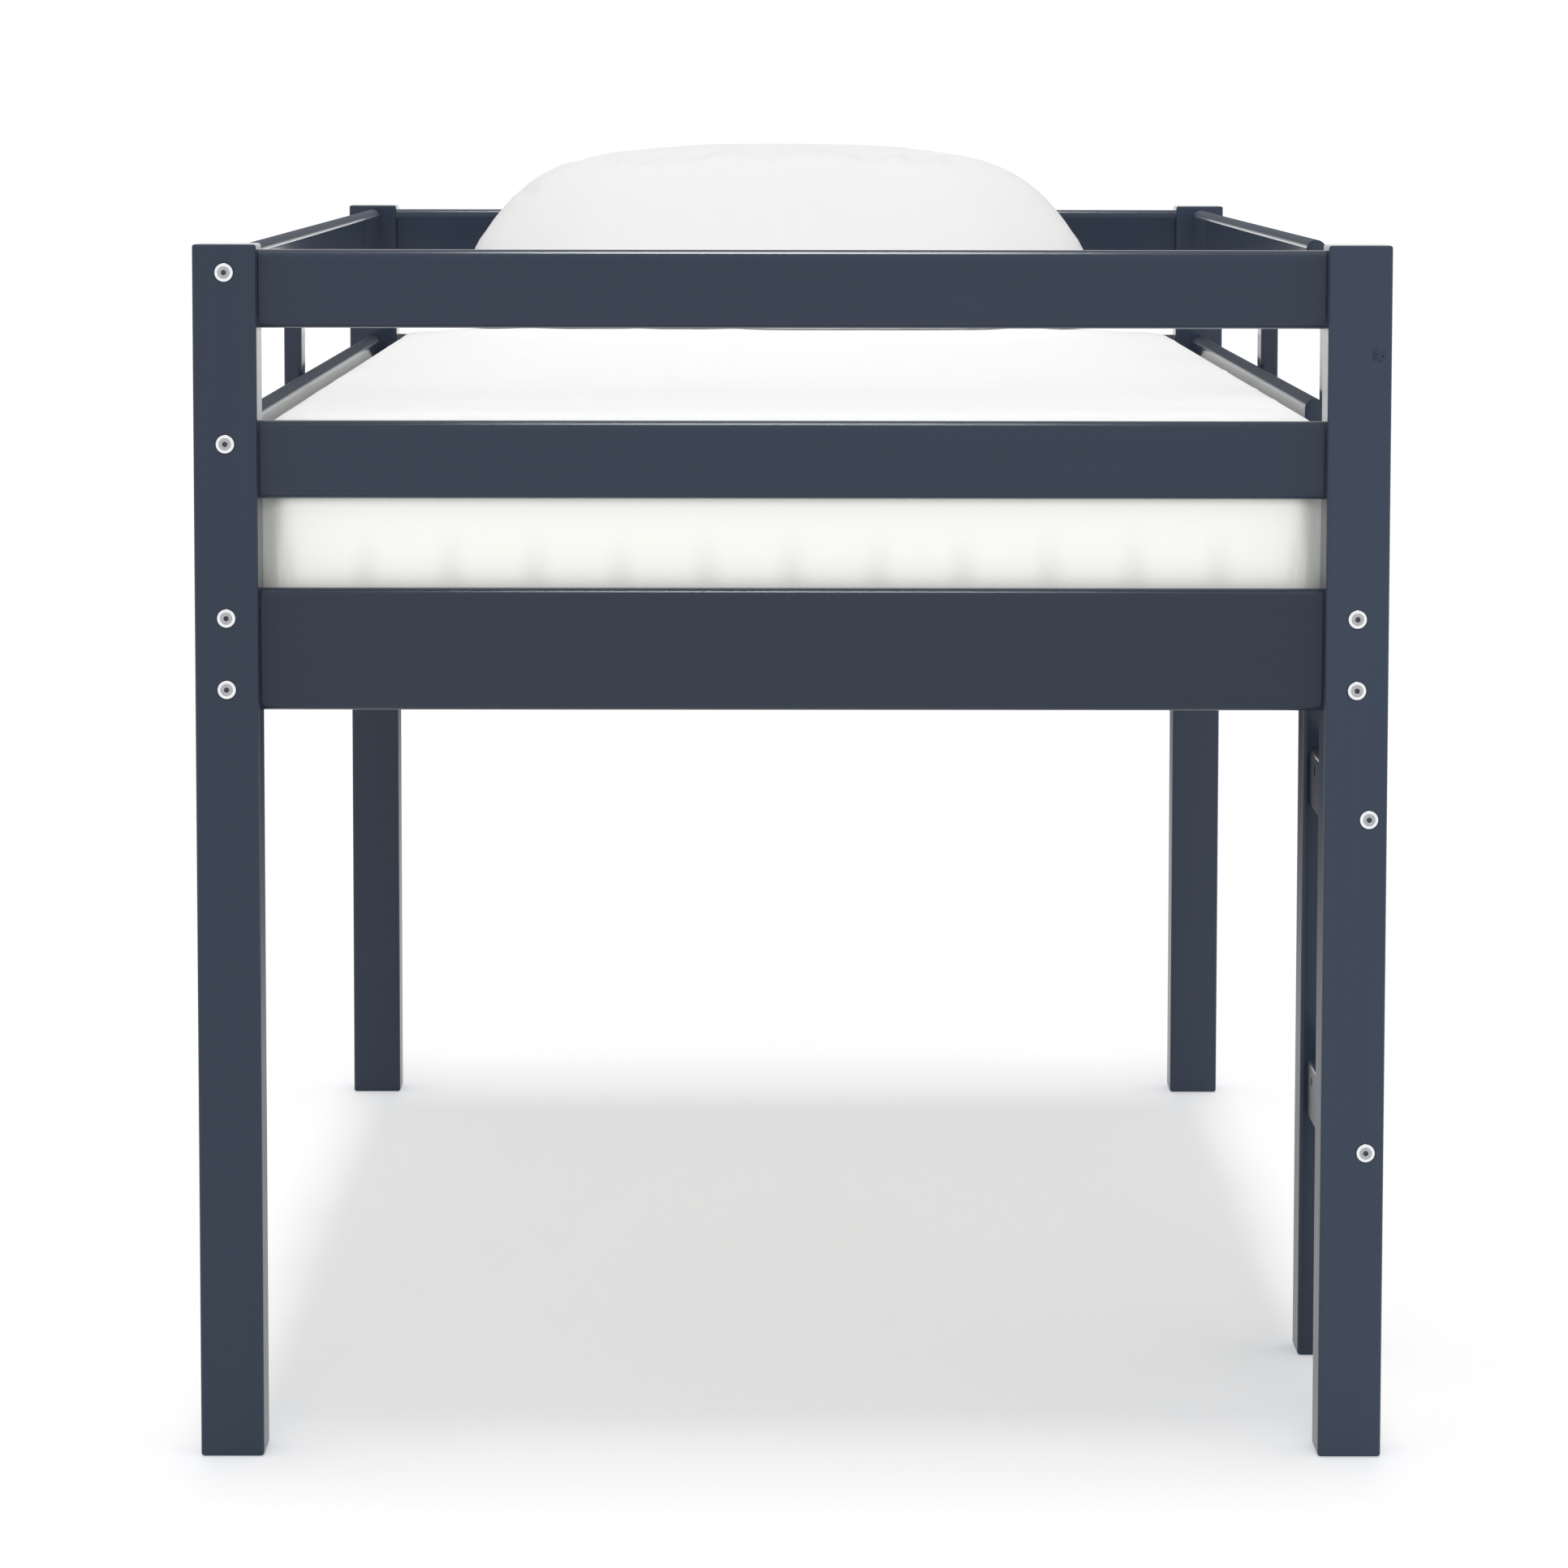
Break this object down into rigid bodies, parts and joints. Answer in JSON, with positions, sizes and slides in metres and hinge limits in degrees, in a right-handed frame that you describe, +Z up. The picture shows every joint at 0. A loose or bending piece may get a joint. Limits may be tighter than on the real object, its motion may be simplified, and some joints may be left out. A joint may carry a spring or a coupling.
{
  "type": "loft bed",
  "caption": "Low loft bed with square posts, board end panels, slatted deck, guard rails on both sides and a short side ladder, with mattress and pillow.",
  "frame": {"origin": "middle of the footprint on the floor", "axes": "+Z up, +Y from the foot end to the head end, +X towards the side that has the ladder"},
  "size_m": [1.0692, 1.9842, 1.1709],
  "materials": {
    "paint": "dark slate blue semi-gloss paint on pine",
    "pine": "bare planed pine",
    "zinc": "zinc plated",
    "ticking": "white woven mattress cover",
    "cotton": "plain white cotton"
  },
  "bodies": {
    "frame": {"foot_left_post": "paint", "foot_right_post": "paint", "head_left_post": "paint", "head_right_post": "paint", "foot_top_board": "paint", "foot_middle_board": "paint", "foot_bottom_board": "paint", "head_top_board": "paint", "head_middle_board": "paint", "head_bottom_board": "paint", "left_top_guard_rail": "paint", "left_middle_guard_rail": "paint", "left_side_rail": "paint", "right_top_guard_rail": "paint", "right_middle_guard_rail": "paint", "right_side_rail": "paint", "left_guard_brace": "paint", "right_guard_brace": "paint", "ladder_post": "paint", "upper_rung": "paint", "lower_rung": "paint", "left_slat_cleat": "paint", "right_slat_cleat": "paint", "slat_01": "pine", "slat_02": "pine", "slat_03": "pine", "slat_04": "pine", "slat_05": "pine", "slat_06": "pine", "slat_07": "pine", "slat_08": "pine", "slat_09": "pine", "slat_10": "pine", "slat_11": "pine", "slat_12": "pine", "foot_left_top_guard_bolt": "zinc", "foot_left_middle_guard_bolt": "zinc", "foot_left_side_bolt_1": "zinc", "foot_left_side_bolt_2": "zinc", "foot_right_side_bolt_1": "zinc", "foot_right_side_bolt_2": "zinc", "head_left_top_guard_bolt": "zinc", "head_left_middle_guard_bolt": "zinc", "head_left_side_bolt_1": "zinc", "head_left_side_bolt_2": "zinc", "head_right_top_guard_bolt": "zinc", "head_right_middle_guard_bolt": "zinc", "head_right_side_bolt_1": "zinc", "head_right_side_bolt_2": "zinc", "upper_rung_front_bolt": "zinc", "upper_rung_back_bolt": "zinc", "lower_rung_front_bolt": "zinc", "lower_rung_back_bolt": "zinc", "ladder_post_top_bolt": "zinc", "ladder_post_middle_bolt": "zinc", "ladder_post_bottom_bolt": "zinc", "left_brace_bolt": "zinc", "right_brace_bolt": "zinc"},
    "mattress": {"mattress": "ticking"},
    "pillow": {"pillow": "cotton"}
  },
  "joints": [
    {"name": "mattress_lift", "type": "slide", "parent": "frame", "child": "mattress", "axis": [0, 0, 1], "range_m": [0, 0.4]},
    {"name": "pillow_lift", "type": "slide", "parent": "mattress", "child": "pillow", "axis": [0, 0, 1], "range_m": [0, 0.3]}
  ]
}
